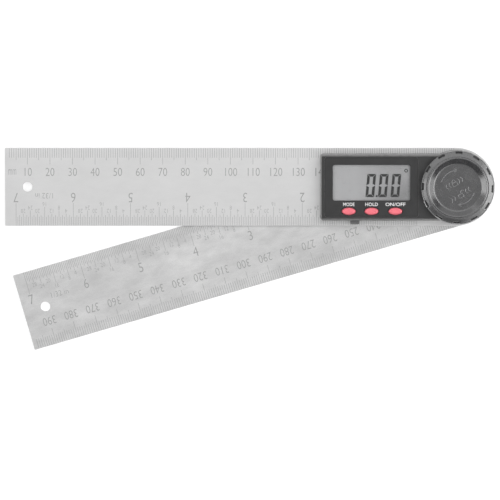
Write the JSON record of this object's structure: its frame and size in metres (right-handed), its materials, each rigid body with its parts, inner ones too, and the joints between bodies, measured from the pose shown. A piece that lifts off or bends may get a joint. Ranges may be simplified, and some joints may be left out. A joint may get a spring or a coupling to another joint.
{
  "type": "digital angle finder",
  "caption": "Flat two-arm angle finder: steel rule arms on one pivot, a black display case with push buttons, and a round lock knob.",
  "frame": {"origin": "on the pivot axis of the two arms, at the flush head of the pivot stud, level with the underside of the lower arm", "axes": "+Z out of the display face, +X from the free end of the upper arm towards the pivot, +Y towards the upper arm's millimetre edge"},
  "size_m": [0.2173, 0.09, 0.017],
  "materials": {
    "arm_steel": "satin stainless with etched scales",
    "turned_steel": "turned, plain",
    "spring_steel": "bright nickel",
    "brass": "machined",
    "case_plastic": "fine satin moulding",
    "face_film": "satin printed film",
    "knob_plastic": "glossy moulding",
    "clear_window": "clear acrylic",
    "display_glass": "grey liquid crystal display",
    "button_rubber": "smooth pink-red silicone",
    "grey_rubber": "matt",
    "circuit_board": "green solder mask",
    "black_resin": "cast resin",
    "white_nylon": "natural nylon"
  },
  "bodies": {
    "display_arm": {"upper_arm": "arm_steel", "pivot_bush": "brass", "case_base": "case_plastic", "case_cover": "case_plastic", "face_overlay": "face_film", "display_window": "clear_window", "lcd_panel": "display_glass", "lcd_connector": "grey_rubber", "circuit_board": "circuit_board", "processor_blob": "black_resin", "mode_switch": "black_resin", "hold_switch": "black_resin", "power_switch": "black_resin", "battery_contact_top": "spring_steel", "battery_contact_side": "spring_steel", "spring_washer": "spring_steel", "case_screw_1": "turned_steel", "case_screw_2": "turned_steel", "case_screw_3": "turned_steel", "case_screw_4": "turned_steel"},
    "swing_arm": {"lower_arm": "arm_steel", "pivot_stud": "turned_steel", "rotor_hub": "brass", "hub_rivet_1": "turned_steel", "hub_rivet_2": "turned_steel", "hub_rivet_3": "turned_steel", "thrust_washer": "white_nylon", "rotor_disc": "circuit_board"},
    "clamp": {"clamp_washer": "turned_steel"},
    "knob": {"lock_knob": "knob_plastic", "knob_nut": "brass"},
    "mode_key": {"mode_button": "button_rubber"},
    "hold_key": {"hold_button": "button_rubber"},
    "power_key": {"power_button": "button_rubber"},
    "tray": {"battery_tray": "case_plastic", "coin_cell": "spring_steel"}
  },
  "joints": [
    {"name": "arm_pivot", "type": "hinge", "parent": "display_arm", "child": "swing_arm", "pos_m": [0, 0, 0], "axis": [0, 0, 1], "continuous": true},
    {"name": "knob_lift", "type": "slide", "parent": "swing_arm", "child": "clamp", "axis": [0, 0, 1], "range_m": [0, 0.001]},
    {"name": "knob_turn", "type": "hinge", "parent": "clamp", "child": "knob", "pos_m": [0, 0, 0], "axis": [0, 0, 1], "range_deg": [0, 360]},
    {"name": "mode_press", "type": "slide", "parent": "display_arm", "child": "mode_key", "axis": [0, 0, -1], "range_m": [0, 0.0006], "stiffness_N_per_m": 300, "springref_m": -0.0005},
    {"name": "hold_press", "type": "slide", "parent": "display_arm", "child": "hold_key", "axis": [0, 0, -1], "range_m": [0, 0.0006], "stiffness_N_per_m": 300, "springref_m": -0.0005},
    {"name": "power_press", "type": "slide", "parent": "display_arm", "child": "power_key", "axis": [0, 0, -1], "range_m": [0, 0.0006], "stiffness_N_per_m": 300, "springref_m": -0.0005},
    {"name": "battery_tray_slide", "type": "slide", "parent": "display_arm", "child": "tray", "axis": [0, -1, 0], "range_m": [0, 0.023]}
  ],
  "couplings": [
    {"joint": "knob_turn", "follows": "knob_lift", "rad_per_m": 6283.2}
  ]
}
